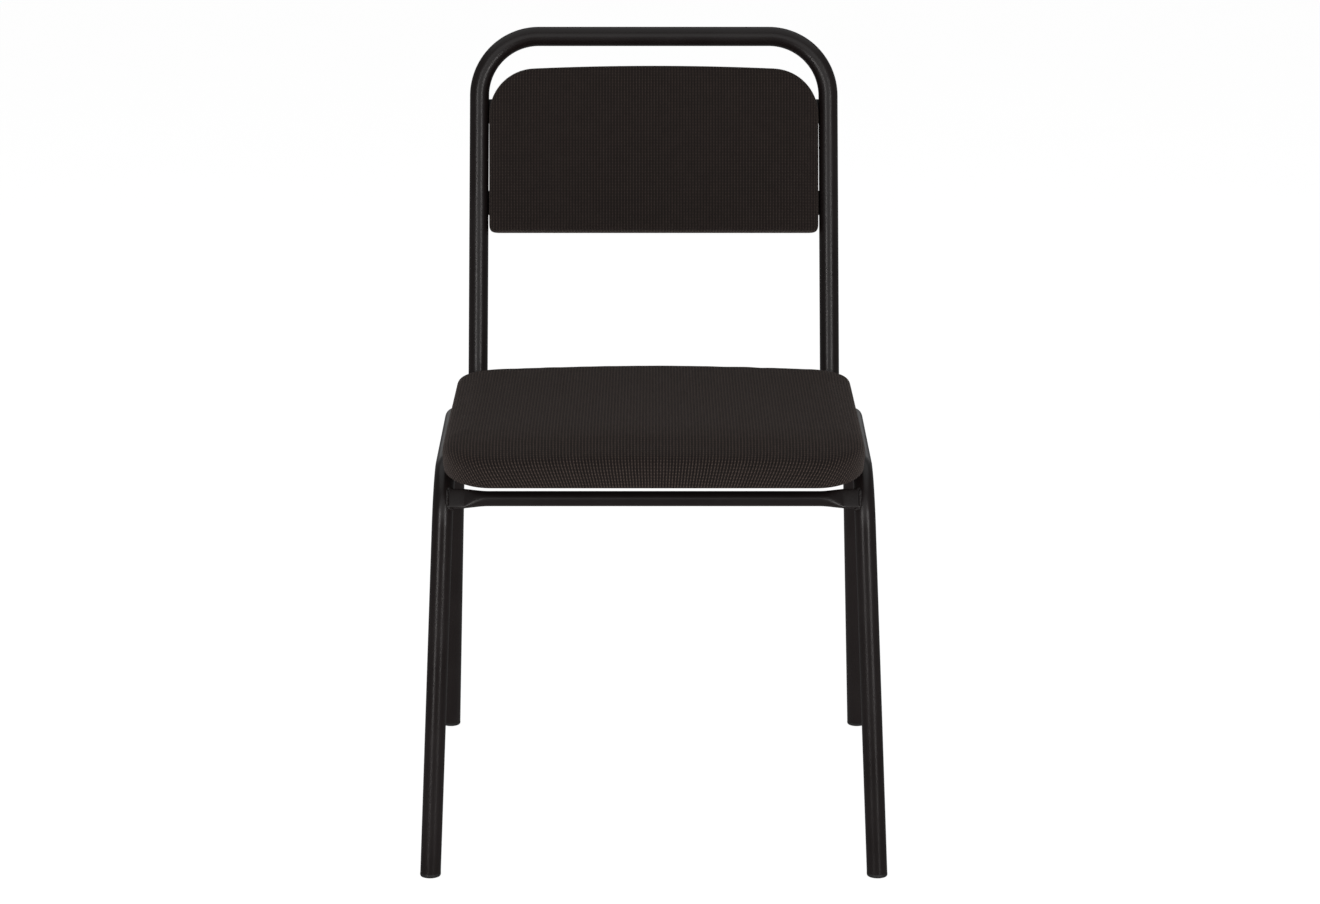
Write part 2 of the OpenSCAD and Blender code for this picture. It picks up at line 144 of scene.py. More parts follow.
class Shell:
    # points and faces gathered from several grids into one mesh, each turned to face outwards
    def __init__(self):
        self.points, self.faces, self.count = [], [], 0

    def add(self, points, *faceSets):
        points = np.asarray(points, float).reshape(-1, 3)
        order = -1 if sum(signedVolume(points, faces) for faces in faceSets) < 0 else 1
        for faces in faceSets:
            self.faces.extend((faces[:, ::order] + self.count).tolist())
        self.points.append(points)
        self.count += len(points)

    def addRings(self, rings, poles):
        # rings of points joined by quads, with a pole at each end that a fan joins to its ring
        rows, columns = np.shape(rings)[:2]
        around = np.arange(columns)
        after, last = np.roll(around, -1), (rows - 1) * columns
        fans = [np.stack([after, around, np.full(columns, rows * columns)], -1),
                np.stack([last + around, last + after, np.full(columns, rows * columns + 1)], -1)]
        points = np.concatenate([np.reshape(rings, (-1, 3)), np.reshape(poles, (-1, 3))])
        self.add(points, gridQuads(rows, columns, closedColumns=True), *fans)

    def addLoop(self, rings):
        # rings that close on themselves both ways, such as a tube with a wall
        self.add(rings, gridQuads(*np.shape(rings)[:2], closedRows=True, closedColumns=True))


def addObject(name, data):
    added = bpy.data.objects.new(name, data)
    bpy.context.scene.collection.objects.link(added)
    return added


def makePiece(name, shell, finish, replaced=(), sharp=32, clothMap=None):
    # a finish is a material and its slot, and the slot is not used; edges sharper than so many degrees stay
    # sharp
    material, slot = finish
    mesh = bpy.data.meshes.new(name)
    mesh.from_pydata(toFrame(np.concatenate(shell.points)).tolist(), [], shell.faces)
    if clothMap is not None:
        layer = mesh.uv_layers.new(name="cloth")
        corner = np.zeros(len(mesh.loops), np.int32)
        mesh.loops.foreach_get("vertex_index", corner)
        layer.data.foreach_set("uv", (clothMap[corner] * millimetre).astype(np.float32).ravel())
    mesh.polygons.foreach_set("use_smooth", np.ones(len(mesh.polygons), bool))
    mesh.set_sharp_from_angle(angle=math.radians(sharp))
    mesh.materials.append(material)
    mesh.update()
    piece = addObject(name, mesh)
    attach(piece, "root")
    if replaced:
        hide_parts(*replaced)
    return piece


# tubes

def unit(v):
    return v / np.linalg.norm(v, axis=-1, keepdims=True)


def fullTurn(count):
    return np.linspace(0, 2 * math.pi, count, endpoint=False)


def bentPath(points, bends, step=3.0):
    # straight lines joined by arcs: each arc turns about a centre on the inside of its corner
    points = [np.asarray(p, float) for p in points]
    places, ways = [points[0][None]], [unit(points[1] - points[0])[None]]
    for i, bend in enumerate(bends, start=1):
        before, after = unit(points[i] - points[i - 1]), unit(points[i + 1] - points[i])
        turn = math.acos(np.clip(before @ after, -1, 1))
        inward = unit(after - (after @ before) * before)
        angle = np.linspace(0, turn, max(4, round(math.degrees(turn) / step)) + 1)[:, None]
        start = points[i] - before * bend * math.tan(turn / 2)
        places.append(start + bend * np.sin(angle) * before + bend * (1 - np.cos(angle)) * inward)
        ways.append(np.cos(angle) * before + np.sin(angle) * inward)
    places.append(points[-1][None])
    ways.append(ways[-1][-1:] if bends else ways[0])
    return np.concatenate(places), np.concatenate(ways)


def crossAxes(ways):
    # two axes square to the path, carried along it without twist
    aside = [0, 0, 1] if abs(ways[0][0]) > 0.9 else [1, 0, 0]
    sides = [unit(np.cross(ways[0], aside))]
    for way in ways[1:]:
        sides.append(unit(sides[-1] - (sides[-1] @ way) * way))
    sides = np.array(sides)
    return sides, np.cross(ways, sides)


def tubeRings(places, ways, radius, count=40, axes=None):
    # ring point = place + radius (cos t side + sin t other)
    side, other = axes if axes is not None else crossAxes(ways)
    turn = fullTurn(count)[None, :, None]
    radius = np.broadcast_to(np.asarray(radius, float), (len(places),))[:, None, None]
    return places[:, None] + radius * (np.cos(turn) * side[:, None] + np.sin(turn) * other[:, None])


def levelCut(ring, way, height):
    # slide a ring's points along the tube to one height
    return ring + way * ((height - ring[:, 2]) / way[2])[:, None]


def hollowTube(shell, points, bends, levelEnds=None):
    places, ways = bentPath(points, bends)
    axes = crossAxes(ways)
    outer = tubeRings(places, ways, chair["tubeRadius"], axes=axes)
    inner = tubeRings(places, ways, chair["tubeRadius"] - chair["tubeWall"], axes=axes)
    if levelEnds is not None:
        for rings in (outer, inner):
            rings[0] = levelCut(rings[0], ways[0], levelEnds)
            rings[-1] = levelCut(rings[-1], ways[-1], levelEnds)
    shell.addLoop(np.concatenate([outer, inner[::-1]]))


# materials

def nodeGroup(name, numbers, outputs):
    # a group that takes a vector and named numbers, and puts out named numbers
    group = bpy.data.node_groups.new(name, "ShaderNodeTree")
    sockets = group.interface
    sockets.new_socket("Vector", in_out="INPUT", socket_type="NodeSocketVector")
    for label, value in numbers.items():
        sockets.new_socket(label, in_out="INPUT", socket_type="NodeSocketFloat").default_value = value
    for label in outputs:
        sockets.new_socket(label, in_out="OUTPUT", socket_type="NodeSocketFloat")
    return group, group.nodes.new("NodeGroupInput"), group.nodes.new("NodeGroupOutput")


def fill(tree, socket, value):
    # a socket takes a link from another socket, or a plain value
    if isinstance(value, bpy.types.NodeSocket):
        tree.links.new(value, socket)
    else:
        socket.default_value = value


def calc(tree, operation, *values, clamp=False):
    node = tree.nodes.new("ShaderNodeMath")
    node.operation, node.use_clamp = operation, clamp
    for socket, value in zip(node.inputs, values):
        fill(tree, socket, value)
    return node.outputs[0]


def remap(tree, value, low, high, toLow=0.0, toHigh=1.0, smooth=False):
    node = tree.nodes.new("ShaderNodeMapRange")
    node.interpolation_type = "SMOOTHSTEP" if smooth else "LINEAR"
    labels = ("Value", "From Min", "From Max", "To Min", "To Max")
    for label, number in zip(labels, (value, low, high, toLow, toHigh)):
        fill(tree, node.inputs[label], number)
    return node.outputs["Result"]


def noise(tree, where, scale, detail=2.0, roughness=0.5):
    node = tree.nodes.new("ShaderNodeTexNoise")
    fill(tree, node.inputs["Vector"], where)
    for label, number in (("Scale", scale), ("Detail", detail), ("Roughness", roughness)):
        fill(tree, node.inputs[label], number)
    return node.outputs["Fac"]


def blendColor(tree, factor, first, second):
    node = tree.nodes.new("ShaderNodeMix")
    node.data_type = "RGBA"
    for socket, value in ((0, factor), (6, first), (7, second)):
        fill(tree, node.inputs[socket], value)
    return node.outputs[2]


def placed(tree, group, where, **values):
    node = tree.nodes.new("ShaderNodeGroup")
    node.node_tree = group
    fill(tree, node.inputs["Vector"], where)
    for label, value in values.items():
        fill(tree, node.inputs[label], value)
    return node


def makeGrainGroup():
    # height = fine noise over wide noise; speckle = the fine noise stretched; drift = slow changes
    group, source, result = nodeGroup(
        "surfaceGrain", {"fine": 900.0, "wide": 250.0, "mix": 0.5}, ["height", "speckle", "drift"])
    where = source.outputs["Vector"]
    small = noise(group, where, source.outputs["fine"], 2.0)
    large = noise(group, where, source.outputs["wide"], 1.0)
    flipped = calc(group, "SUBTRACT", 1.0, source.outputs["mix"])
    height = calc(group, "ADD", calc(group, "MULTIPLY", small, source.outputs["mix"]),
                  calc(group, "MULTIPLY", large, flipped))
    fill(group, result.inputs["height"], height)
    fill(group, result.inputs["speckle"], remap(group, small, 0.35, 0.65))
    fill(group, result.inputs["drift"], remap(group, noise(group, where, 14.0, 3.0), 0.3, 0.7))
    return group


cloth = {
    "pitch": 0.0017,     # metres from thread to thread; a light yarn comes every second thread
    "stray": (90.0, 0.35),     # scale of the threads' wandering, and how many threads far
    "crossing": 0.12,    # softness of the change from warp to weft
    "sag": 0.45,         # share of its height that a thread loses where it dips
    "column": 0.35, "row": 0.45,     # how light the light yarn is everywhere, and how much more at crossings
    "fibre": 5200.0,
    "bump": (0.8, 0.0005),
    # dark and light yarn, one pair for each pad: the seat's pair is brighter with more contrast and the back's
    # is darker and flatter, as painted light and shade for how the lamps fall on each pad
    "seat": ((0.0080, 0.0052, 0.0044, 1), (0.088, 0.063, 0.053, 1)),
    "back": ((0.0128, 0.0086, 0.0074, 1), (0.046, 0.033, 0.028, 1)),
}


def makeWeaveGroup():
    # su = sin(pi u / pitch), sv = sin(pi v / pitch); the warp is on top where su sv > 0
    # a thread's height = its own |sin| across times a gentle |sin| along
    # every second warp is the light yarn, and lightest where it crosses every second weft
    group, source, result = nodeGroup("plainWeave", {"pitch": cloth["pitch"]}, ["height", "light", "fibre"])
    split = group.nodes.new("ShaderNodeSeparateXYZ")
    fill(group, split.inputs[0], source.outputs["Vector"])
    scale, far = cloth["stray"]
    wander = noise(group, source.outputs["Vector"], scale, 2.0)
    waves = []
    for axis in (0, 1):
        turns = calc(group, "DIVIDE", split.outputs[axis], source.outputs["pitch"])
        turns = calc(group, "ADD", turns, calc(group, "MULTIPLY", wander, far))
        waves.append(calc(group, "SINE", calc(group, "MULTIPLY", turns, math.pi)))
    across, along = calc(group, "ABSOLUTE", waves[0]), calc(group, "ABSOLUTE", waves[1])
    over = remap(group, calc(group, "MULTIPLY", *waves), -cloth["crossing"], cloth["crossing"], smooth=True)
    sag = cloth["sag"]
    warp = calc(group, "MULTIPLY", across, calc(group, "MULTIPLY_ADD", along, sag, 1 - sag))
    weft = calc(group, "MULTIPLY", along, calc(group, "MULTIPLY_ADD", across, sag, 1 - sag))
    height = calc(group, "ADD", calc(group, "MULTIPLY", warp, over),
                  calc(group, "MULTIPLY", weft, calc(group, "SUBTRACT", 1.0, over)))
    fill(group, result.inputs["height"], height)
    column, row = (remap(group, wave, 0.1, 0.6, smooth=True) for wave in waves)
    share = calc(group, "MULTIPLY_ADD", row, cloth["row"], cloth["column"])
    fill(group, result.inputs["light"], calc(group, "MULTIPLY", column, share))
    fill(group, result.inputs["fibre"], noise(group, source.outputs["Vector"], cloth["fibre"], 2.0))
    return group


def newMaterial(name, **fixed):
    material = bpy.data.materials.new(name)
    material.use_nodes = True
    tree = material.node_tree
    shader = tree.nodes["Principled BSDF"]
    for label, value in fixed.items():
        shader.inputs[label.replace("_", " ")].default_value = value
    where = tree.nodes.new("ShaderNodeTexCoord")
    return material, tree, shader, where


def dress(tree, shader, color, roughness, height, strength, depth):
    # the links that every finish has: its colour, its roughness, and a bump made from its height
    fill(tree, shader.inputs["Base Color"], color)
    fill(tree, shader.inputs["Roughness"], roughness)
    node = tree.nodes.new("ShaderNodeBump")
    fill(tree, node.inputs["Height"], height)
    fill(tree, node.inputs["Strength"], strength)
    fill(tree, node.inputs["Distance"], depth)
    fill(tree, shader.inputs["Normal"], node.outputs["Normal"])


paint = {
    "colors": ((0.0085, 0.0058, 0.0056, 1), (0.0120, 0.0088, 0.0086, 1)),
    "roughness": (0.27, 0.36),
    "peel": {"fine": 1500.0, "wide": 420.0, "mix": 0.3},
    "bump": (0.25, 0.00012),
}


def makePowderCoat(grain):
    # colour and roughness drift slowly; bump = orange peel, wide soft cells under fine ones
    material, tree, shader, where = newMaterial("powderCoat", Specular_IOR_Level=0.5)
    spot = placed(tree, grain, where.outputs["Object"], **paint["peel"])
    color = blendColor(tree, spot.outputs["drift"], *paint["colors"])
    roughness = remap(tree, spot.outputs["drift"], 0, 1, *paint["roughness"])
    dress(tree, shader, color, roughness, spot.outputs["height"], *paint["bump"])
    return material


plastics = {
    # base and paler colour, roughness, scale of the grain, bump's strength
    "capPlastic": ((0.016, 0.015, 0.015, 1), (0.03, 0.029, 0.029, 1), 0.45, 1800.0, 0.3),
    "panelPlastic": ((0.014, 0.013, 0.013, 1), (0.024, 0.023, 0.023, 1), 0.5, 1100.0, 0.6),
}


def makePlastic(name, grain):
    # colour = base to paler by speckle and drift; bump = moulded grain
    color, paler, smoothest, fine, strength = plastics[name]
    material, tree, shader, where = newMaterial(name)
    spot = placed(tree, grain, where.outputs["Object"], fine=fine, wide=fine / 3, mix=0.6)
    share = calc(tree, "MULTIPLY", spot.outputs["speckle"], spot.outputs["drift"])
    roughness = remap(tree, spot.outputs["speckle"], 0, 1, smoothest, smoothest + 0.1)
    color = blendColor(tree, share, color, paler)
    dress(tree, shader, color, roughness, spot.outputs["height"], strength, 0.0002)
    return material


def makeWovenCloth(place, weave):
    # colour = dark yarn, light yarn where the weave says, both varied by fibre noise and a slow drift
    material, tree, shader, where = newMaterial(
        place + "Cloth", Sheen_Weight=0.12, Sheen_Roughness=0.5, Sheen_Tint=(0.8, 0.66, 0.6, 1),
        Specular_IOR_Level=0.25)
    yarn = placed(tree, weave, where.outputs["UV"], pitch=cloth["pitch"])
    fibre = remap(tree, yarn.outputs["fibre"], 0.3, 0.7, 0.75, 1.15)
    drift = remap(tree, noise(tree, where.outputs["UV"], 60.0, 3.0), 0.3, 0.7, 0.9, 1.08)
    # the seat's and the back's yarn colours differ by painted light and shade; both pads are one cloth
    base = blendColor(tree, yarn.outputs["light"], *cloth[place])
    shaded = tree.nodes.new("ShaderNodeVectorMath")
    shaded.operation = "SCALE"
    fill(tree, shaded.inputs[0], base)
    fill(tree, shaded.inputs["Scale"], calc(tree, "MULTIPLY", fibre, drift))
    roughness = remap(tree, yarn.outputs["height"], 0, 1, 0.95, 0.75)
    dress(tree, shader, shaded.outputs[0], roughness, yarn.outputs["height"], *cloth["bump"])
    return material


felt = {
    "colors": ((0.010, 0.009, 0.009, 1), (0.035, 0.033, 0.032, 1)),
    "fibres": ((0.5, (260, 2200, 700)), (-0.7, (2200, 260, 700))),     # turn, and scale on each axis
    "bump": (0.5, 0.0003),
}


def makeLiner():
    # felted fibres: two stretched noises crossed, as bump and as a faint change of colour
    material, tree, shader, where = newMaterial("linerCloth", Sheen_Weight=0.1, Specular_IOR_Level=0.2)
    threads = []
    for turn, stretch in felt["fibres"]:
        mapping = tree.nodes.new("ShaderNodeMapping")
        fill(tree, mapping.inputs["Vector"], where.outputs["Object"])
        mapping.inputs["Rotation"].default_value = (0, 0, turn)
        mapping.inputs["Scale"].default_value = stretch
        threads.append(noise(tree, mapping.outputs[0], 1.0, 3.0, 0.6))
    height = calc(tree, "MAXIMUM", *threads)
    color = blendColor(tree, remap(tree, height, 0.45, 0.75), *felt["colors"])
    dress(tree, shader, color, remap(tree, height, 0.4, 0.8, 0.95, 0.8), height, *felt["bump"])
    return material


zinc = {
    "colors": ((0.55, 0.56, 0.57, 1), (0.66, 0.64, 0.58, 1)),
    "roughness": (0.28, 0.45),
    "grain": {"fine": 2600.0, "wide": 600.0, "mix": 0.5},
    "bump": (0.2, 0.0001),
}


def makeZinc(grain):
    # bright zinc: roughness and colour break up by speckle, with a faint warm drift
    material, tree, shader, where = newMaterial("zincPlate", Metallic=1.0)
    spot = placed(tree, grain, where.outputs["Object"], **zinc["grain"])
    color = blendColor(tree, spot.outputs["drift"], *zinc["colors"])
    roughness = remap(tree, spot.outputs["speckle"], 0, 1, *zinc["roughness"])
    dress(tree, shader, color, roughness, spot.outputs["height"], *zinc["bump"])
    return material


plywood = {
    "colors": ((0.42, 0.27, 0.14, 1), (0.68, 0.5, 0.31, 1)),
    "plies": 0.0028,     # metres from one dark ply to the next
    "stretch": (14, 260, 260),
    "bump": (0.3, 0.0002),
}


def makePlywood():
    # plies are bands along the board's thickness; the faces show stretched grain
    material, tree, shader, where = newMaterial("birchPly")
    mapping = tree.nodes.new("ShaderNodeMapping")
    fill(tree, mapping.inputs["Vector"], where.outputs["Object"])
    mapping.inputs["Scale"].default_value = plywood["stretch"]
    grainLines = noise(tree, mapping.outputs[0], 1.0, 4.0, 0.6)
    split = tree.nodes.new("ShaderNodeSeparateXYZ")
    fill(tree, split.inputs[0], where.outputs["Object"])
    ply = calc(tree, "SINE", calc(tree, "MULTIPLY", split.outputs[2], 2 * math.pi / plywood["plies"]))
    lines = calc(tree, "MULTIPLY", grainLines, 0.7)
    share = calc(tree, "MULTIPLY_ADD", remap(tree, ply, -0.3, 0.3), 0.3, lines, clamp=True)
    roughness = remap(tree, grainLines, 0.3, 0.7, 0.55, 0.75)
    dress(tree, shader, blendColor(tree, share, *plywood["colors"]), roughness, grainLines, *plywood["bump"])
    return material


grain, weave = makeGrainGroup(), makeWeaveGroup()
framePaint = (makePowderCoat(grain), "frame_paint")
capPlastic, panelPlastic = (makePlastic(name, grain) for name in plastics)
wovenCloth = {place: makeWovenCloth(place, weave) for place in ("seat", "back")}
linerCloth = makeLiner()
zincPlate, birchPly = makeZinc(grain), makePlywood()
zincSteel = (zincPlate, "zinc_steel")
print("materials made")

# the steel frame
sides = {"left": mirrorX, "right": np.array([1, 1, 1])}
sideFrame = {"kneeBend": 57, "rearKneeBend": 40, "capHeight": 4, "belowFloor": 30}
frontFoot, rearFoot = framePoint(0, 0), framePoint(chair["footSpan"], 0)
frontKnee = framePoint(chair["kneeFront"], chair["railHeight"])
rearKnee = framePoint(chair["kneeRear"], railZ(chair["kneeRear"]))
frontLean = (frontKnee - frontFoot) / frontKnee[2]
rearLean = (rearKnee - rearFoot) / rearKnee[2]


def makeSideFrame(side, mirrored):
    # the legs start below the floor, and level ends cut them where their caps begin
    shell = Shell()
    points = np.array([frontFoot - frontLean * sideFrame["belowFloor"], frontKnee, rearKnee,
                       rearFoot - rearLean * sideFrame["belowFloor"]])
    bends = [sideFrame["kneeBend"], sideFrame["rearKneeBend"]]
    hollowTube(shell, points * mirrored, bends, sideFrame["capHeight"])
    makePiece(side + "_side_tube", shell, framePaint, [side + "_side_frame"])


hoop = {"topBend": 68, "seatBend": 45}


def makeHoop():
    shell = Shell()
    half = [bearerPoint(chair["bearerY"]), uprightLow, uprightTop]
    points = half + [p * mirrorX for p in half[::-1]]
    hollowTube(shell, points, [hoop["seatBend"], hoop["topBend"], hoop["topBend"], hoop["seatBend"]])
    makePiece("hoop_tube", shell, framePaint, ["back_hoop"])


frontBar = {
    "turn": 28,            # degrees round the front knee's bend, from the leg
    "lead": 8, "radius": 8,
    "flatHalfHeight": 10.5, "flatHalfThick": 2,
    "blendLength": 26,     # from round to flat
    "flatLength": 17,      # from the end of the blend to the plate's edge, beside the leg's axis
    "squareness": 7,       # exponent of the flat end's outline
}
legWay, railWay = unit(frontKnee - frontFoot), unit(rearKnee - frontKnee)
kneeInwards = unit(railWay - (railWay @ legWay) * legWay)
kneeTangent = math.tan(math.acos(legWay @ railWay) / 2)
kneeCentre = frontKnee + sideFrame["kneeBend"] * (kneeInwards - legWay * kneeTangent)
barTurn = math.radians(frontBar["turn"])
barOutwards = legWay * math.sin(barTurn) - kneeInwards * math.cos(barTurn)
kneeAtBar = kneeCentre + barOutwards * sideFrame["kneeBend"]
barTilt = math.asin(barOutwards[2])
barFlatStart = kneeAtBar[0] - 2 * chair["tubeRadius"]


def barSpace(points):
    # bar axes: Y into the bend and Z up along it, zero on the bar's own axis
    x, y, z = np.moveaxis(np.asarray(points, float), -1, 0)
    centre = kneeAtBar + barOutwards * frontBar["lead"]
    cos, sin = math.cos(barTilt), math.sin(barTilt)
    return np.stack([x, centre[1] + y * cos + z * sin, centre[2] - y * sin + z * cos], -1)


def barOutline(x, count=48):
    # superellipse |y / b|^e + |z / h|^e = 1; b, h and e go by a square law from round tube to flat plate
    share = np.clip((np.abs(x) - barFlatStart + frontBar["blendLength"]) / frontBar["blendLength"], 0, 1)
    share = (share * share)[:, None]
    thick = frontBar["radius"] + (frontBar["flatHalfThick"] - frontBar["radius"]) * share
    high = frontBar["radius"] + (frontBar["flatHalfHeight"] - frontBar["radius"]) * share
    power = 2 / (2 + (frontBar["squareness"] - 2) * share)
    turn = fullTurn(count)[None]
    cos, sin = np.cos(turn), np.sin(turn)
    y = thick * np.sign(cos) * np.abs(cos) ** power
    z = high * np.sign(sin) * np.abs(sin) ** power
    return np.stack([np.broadcast_to(x[:, None], y.shape), y, z], -1)


def makeFrontBar():
    shell = Shell()
    edge = barFlatStart + frontBar["flatLength"]
    halfRun = np.concatenate([np.linspace(0, barFlatStart - frontBar["blendLength"], 4)[:-1],
                              np.linspace(barFlatStart - frontBar["blendLength"], barFlatStart, 19),
                              [edge - 3, edge - 0.5, edge - 0.1, edge]])
    x = np.concatenate([-halfRun[:0:-1], halfRun])
    rings = barOutline(x)
    shrink = np.ones(len(x))
    shrink[[0, -1]], shrink[[1, -2]] = 0.8, 0.94
    rings[..., 1:] *= shrink[:, None, None]
    shell.addRings(barSpace(rings), (barSpace([-edge, 0, 0]), barSpace([edge, 0, 0])))
    makePiece("front_bar", shell, framePaint, ["front_crossbar"])


rearBar = {"y": 330, "radius": 8, "sink": 1.2}


def makeRearBar():
    # a round bar whose ends follow the bearers' round sides
    shell = Shell()
    place = bearerPoint(rearBar["y"])
    turn = fullTurn(40)
    y, z = rearBar["radius"] * np.cos(turn), rearBar["radius"] * np.sin(turn)
    reach = place[0] - np.sqrt(chair["tubeRadius"] ** 2 - z ** 2) + rearBar["sink"]
    ends = [np.stack([side * reach, place[1] + y, place[2] + z], -1) for side in (-1, 1)]
    rings = np.stack([ends[0], ends[0] * [0.98, 1, 1], ends[1] * [0.98, 1, 1], ends[1]])
    poleX = place[0] - chair["tubeRadius"] + rearBar["sink"]
    poles = [np.array([side * poleX, *place[1:]]) for side in (-1, 1)]
    shell.addRings(rings, poles)
    makePiece("rear_bar", shell, framePaint, ["rear_crossbar"])


# weld beads
bead = {
    "radius": 2.1, "ripple": 0.16, "pitch": 1.7, "sides": 12,
    "plate": (4.6, 10.6),     # reach of a bead along the crossbar's plate, inwards from the leg's axis
    "rail": ((92, 124), (196, 228), (296, 324)),     # stretches along each rail
}


def addBead(shell, line):
    # a small tube along a line, swollen by |sin| ripples and drawn to a point at both ends
    line = np.asarray(line, float)
    along = np.concatenate([[0], np.cumsum(np.linalg.norm(np.diff(line, axis=0), axis=1))])
    s = np.arange(0, along[-1], bead["pitch"] / 5)
    places = np.stack([np.interp(s, along, line[:, k]) for k in range(3)], -1)
    ways = unit(np.gradient(places, axis=0))
    taper = np.sqrt(np.clip(np.minimum(s, s[-1] - s) / (1.5 * bead["radius"]), 0.02, 1))
    ripple = np.abs(np.sin(math.pi * s / bead["pitch"])) - 0.5
    rings = tubeRings(places, ways, bead["radius"] * taper * (1 + bead["ripple"] * ripple), bead["sides"])
    shell.addRings(rings, (places[0], places[-1]))


def makeWelds():
    shell = Shell()
    radius, high, kneeDiameter = chair["tubeRadius"], frontBar["flatHalfHeight"], 2 * sideFrame["kneeBend"]
    for mirrored in sides.values():
        # crossbar plate to knee: along its lower, upper and end edges, where the bend falls away by z squared
        x = np.linspace(*bead["plate"], 14)
        surface = frontBar["lead"] - np.sqrt(radius ** 2 - x ** 2)
        for level in (-high - 0.4, high + 0.4):
            edge = np.stack([kneeAtBar[0] - x, surface + level ** 2 / kneeDiameter, np.full(14, level)], -1)
            addBead(shell, barSpace(edge) * mirrored)
        z = np.linspace(-high, high, 12)
        end = np.stack([np.full(12, kneeAtBar[0] - 4.8), z ** 2 / kneeDiameter - 1.4, z], -1)
        addBead(shell, barSpace(end) * mirrored)
        # bearer to rail: in the groove below, near both ends and in the middle
        for start, stop in bead["rail"]:
            y = np.linspace(start, stop, 12)
            line = np.array([(framePoint(v, railZ(v)) + bearerPoint(v)) / 2 for v in y])
            line[:, 2] -= radius * 0.33
            addBead(shell, line * mirrored)
        # rear crossbar to bearer
        place = bearerPoint(rearBar["y"])
        turn = np.linspace(0, 2 * math.pi, 49)
        y, z = rearBar["radius"] * np.cos(turn), rearBar["radius"] * np.sin(turn)
        x = place[0] - np.sqrt(radius ** 2 - z ** 2) - 0.3
        addBead(shell, np.stack([x, place[1] + y * 1.05, place[2] + z * 1.05], -1) * mirrored)
    makePiece("frame_welds", shell, framePaint)


for side, mirrored in sides.items():
    makeSideFrame(side, mirrored)
makeHoop()
makeFrontBar()
makeRearBar()
makeWelds()
print("steel frame made")

# plastic caps
footCap = {
    # height above the floor and radius, from the underside's middle ring to the top of the plug
    "profile": [(0.5, 6.5), (0.0, 7.4), (0.0, 9.9), (0.25, 10.5), (0.8, 10.9), (1.6, 11.1), (3.3, 11.1),
                (3.85, 10.95), (4.0, 10.6), (4.05, 9.4), (10, 9.35), (28, 9.3), (30, 8.4)],
    "count": 48,
}


def lathe(profile, origin, axis, count, level=False):
    # rings of the profile's radii about an axis; a level ring is slid along the axis to one height
    axis = np.asarray(axis, float)
    profile = np.asarray(profile, float)
    places = origin + profile[:, :1] * axis
    ways = np.broadcast_to(unit(axis), places.shape)
    rings = tubeRings(places, ways, profile[:, 1], count)
    if level:
        rings = np.stack([levelCut(ring, unit(axis), place[2]) for ring, place in zip(rings, places)])
    return rings, (places[0], places[-1])


def makeFootCap(name, mirrored, foot, lean):
    shell = Shell()
    shell.addRings(*lathe(footCap["profile"], foot * mirrored, lean * mirrored, footCap["count"], level=True))
    makePiece(name + "_glide", shell, (capPlastic, "cap_plastic"), [name + "_foot_cap"])


bearerCap = {
    "profile": [(-2.9, 3.0), (-2.6, 6.5), (-2.0, 9.0), (-1.2, 10.4), (-0.4, 11.0), (0.0, 11.0), (0.02, 9.4),
                (16, 9.35), (18, 8.2)],
    "crown": -3.0, "count": 48,
}


def makeBearerCap(side, mirrored):
    shell = Shell()
    end = bearerPoint(chair["bearerY"])
    along = unit(uprightLow - end)
    rings, poles = lathe(bearerCap["profile"], end * mirrored, along * mirrored, bearerCap["count"])
    shell.addRings(rings, ((end + along * bearerCap["crown"]) * mirrored, poles[1]))
    makePiece(side + "_bearer_plug", shell, (capPlastic, "cap_plastic"), [side + "_bearer_cap"])


for end, foot, lean in (("front", frontFoot, frontLean), ("rear", rearFoot, rearLean)):
    for side, mirrored in sides.items():
        makeFootCap(f"{end}_{side}", mirrored, foot, lean)
for side, mirrored in sides.items():
    makeBearerCap(side, mirrored)
print("caps made")


# plates, washers and screws
fixings = {
    "seatX": 174, "seatY": (70, 252), "seatFace": 1, "backX": 172, "backZ": (-85, -190), "backFace": 9.9,
    "bearerOffset": 5.2,     # from a seat tab's outer end to the bearer's axis
    "tabThick": 3, "tabWidth": 28, "tabInner": 160, "holeRadius": 3.25, "tabCorner": 7,
    "washerRadius": 6, "washerThick": 1.6, "headRadius": 5.5, "headHeight": 3.4, "shankRadius": 3,
    "screwLength": 16, "socketHalf": 2.0, "socketDepth": 2.3,
    # the button head's dome: share of its radius and share of its height
    "dome": [(0.62, 1.0), (0.74, 0.93), (0.86, 0.75), (0.95, 0.48), (1.0, 0.16), (0.98, 0.0)],
}


def platedRing(outline, hole, low, high, edge=0.45):
    # a plate with one hole: hole and outline rings at both faces, the outline's corners cut by a small edge
    centre = hole.mean(0)
    drawnIn = outline - unit(outline - centre) * edge
    rings = [(hole, low), (drawnIn, low), (outline, low + edge),
             (outline, high - edge), (drawnIn, high), (hole, high)]
    return np.stack([np.concatenate([ring, np.full((len(ring), 1), z)], -1) for ring, z in rings])


def tabOutline(inner, outer, halfWidth, corner, count=16):
    # a rectangle whose two inner corners are quarter circles, counter-clockwise about the hole
    turn = np.linspace(math.pi / 2, math.pi, count)
    arc = np.stack([inner + corner + corner * np.cos(turn), halfWidth - corner + corner * np.sin(turn)], -1)
    side = np.linspace(-halfWidth, halfWidth, 9)
    edge = np.stack([np.full(9, float(outer)), side], -1)
    middle = np.linspace(outer, inner + corner, 8)[1:-1]
    top = np.stack([middle, np.full(6, float(halfWidth))], -1)
    down = np.linspace(halfWidth - corner, corner - halfWidth, 7)[1:-1]
    left = np.stack([np.full(5, float(inner)), down], -1)
    return np.concatenate([edge, top, arc, left, arc[::-1] * [1, -1], top[::-1] * [1, -1]])


